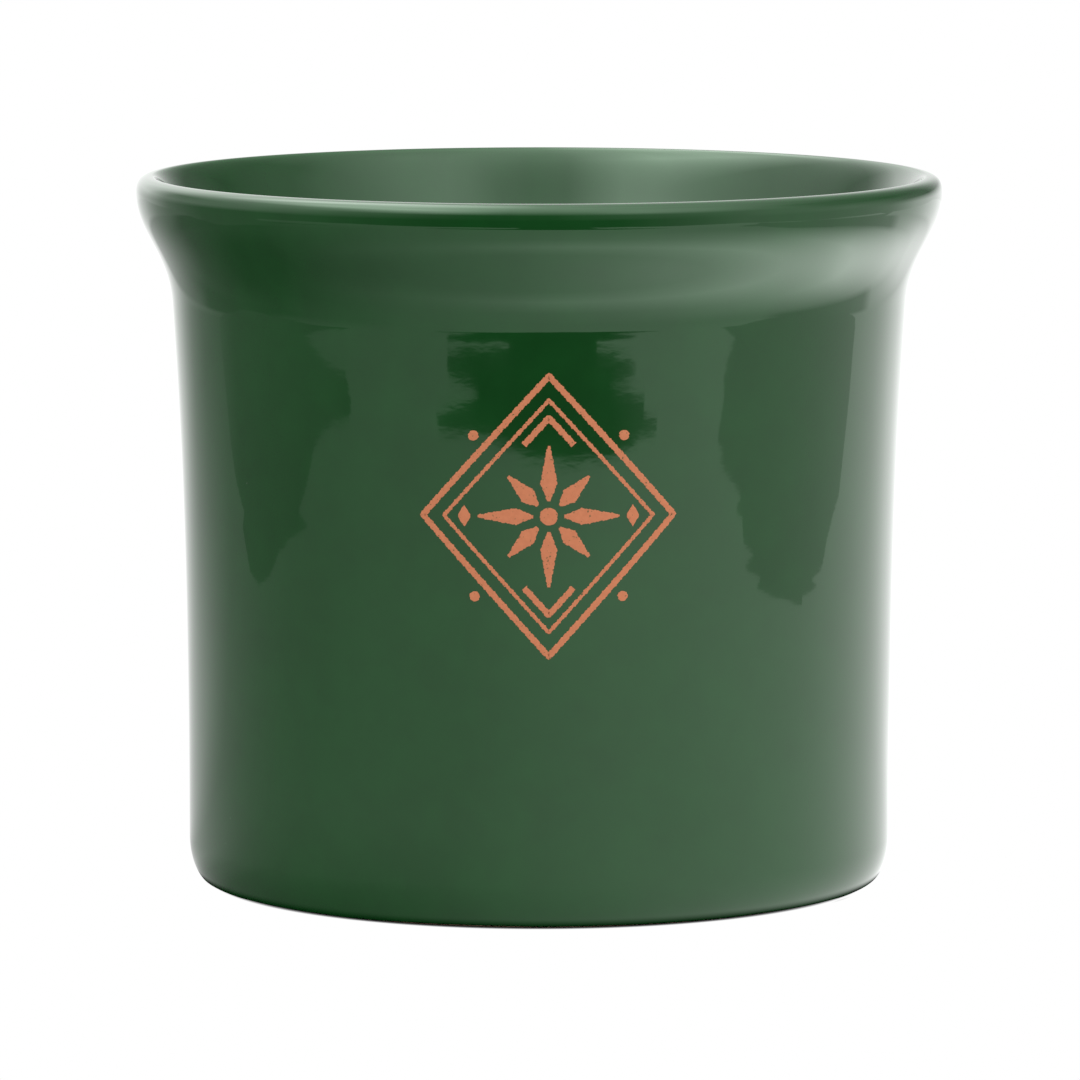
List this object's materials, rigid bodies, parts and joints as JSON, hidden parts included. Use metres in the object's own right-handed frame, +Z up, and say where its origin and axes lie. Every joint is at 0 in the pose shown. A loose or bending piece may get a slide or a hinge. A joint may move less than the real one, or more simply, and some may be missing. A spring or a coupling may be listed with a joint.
{
  "type": "crock",
  "caption": "Round glazed stoneware crock with a flared rolled rim, an open top, a bare foot ring and a small enamel ornament on its front, for holding utensils or dry food.",
  "frame": {"origin": "centre of the foot's resting plane, at the bottom of the bounding box", "axes": "+Z up along the crock's turning axis; -Y towards the front, where the print is; +X to the right seen from the front"},
  "size_m": [0.178, 0.178, 0.1564],
  "materials": {
    "stoneware": "bare fired stoneware, matt and slightly gritty",
    "green_glaze": "deep green high-gloss glaze",
    "copper_enamel": "copper-coloured printed enamel, satin"
  },
  "bodies": {
    "root": {"stoneware_body": "stoneware", "outer_glaze": "green_glaze", "liner_glaze": "green_glaze", "base_glaze": "green_glaze", "print_border_outer": "copper_enamel", "print_border_inner": "copper_enamel", "print_centre": "copper_enamel", "print_ray_1": "copper_enamel", "print_ray_2": "copper_enamel", "print_ray_3": "copper_enamel", "print_ray_4": "copper_enamel", "print_ray_5": "copper_enamel", "print_ray_6": "copper_enamel", "print_ray_7": "copper_enamel", "print_ray_8": "copper_enamel", "print_dot_1": "copper_enamel", "print_dot_2": "copper_enamel", "print_dot_3": "copper_enamel", "print_dot_4": "copper_enamel", "print_chevron_top": "copper_enamel", "print_chevron_bottom": "copper_enamel", "print_diamond_right": "copper_enamel", "print_diamond_left": "copper_enamel"}
  },
  "joints": []
}
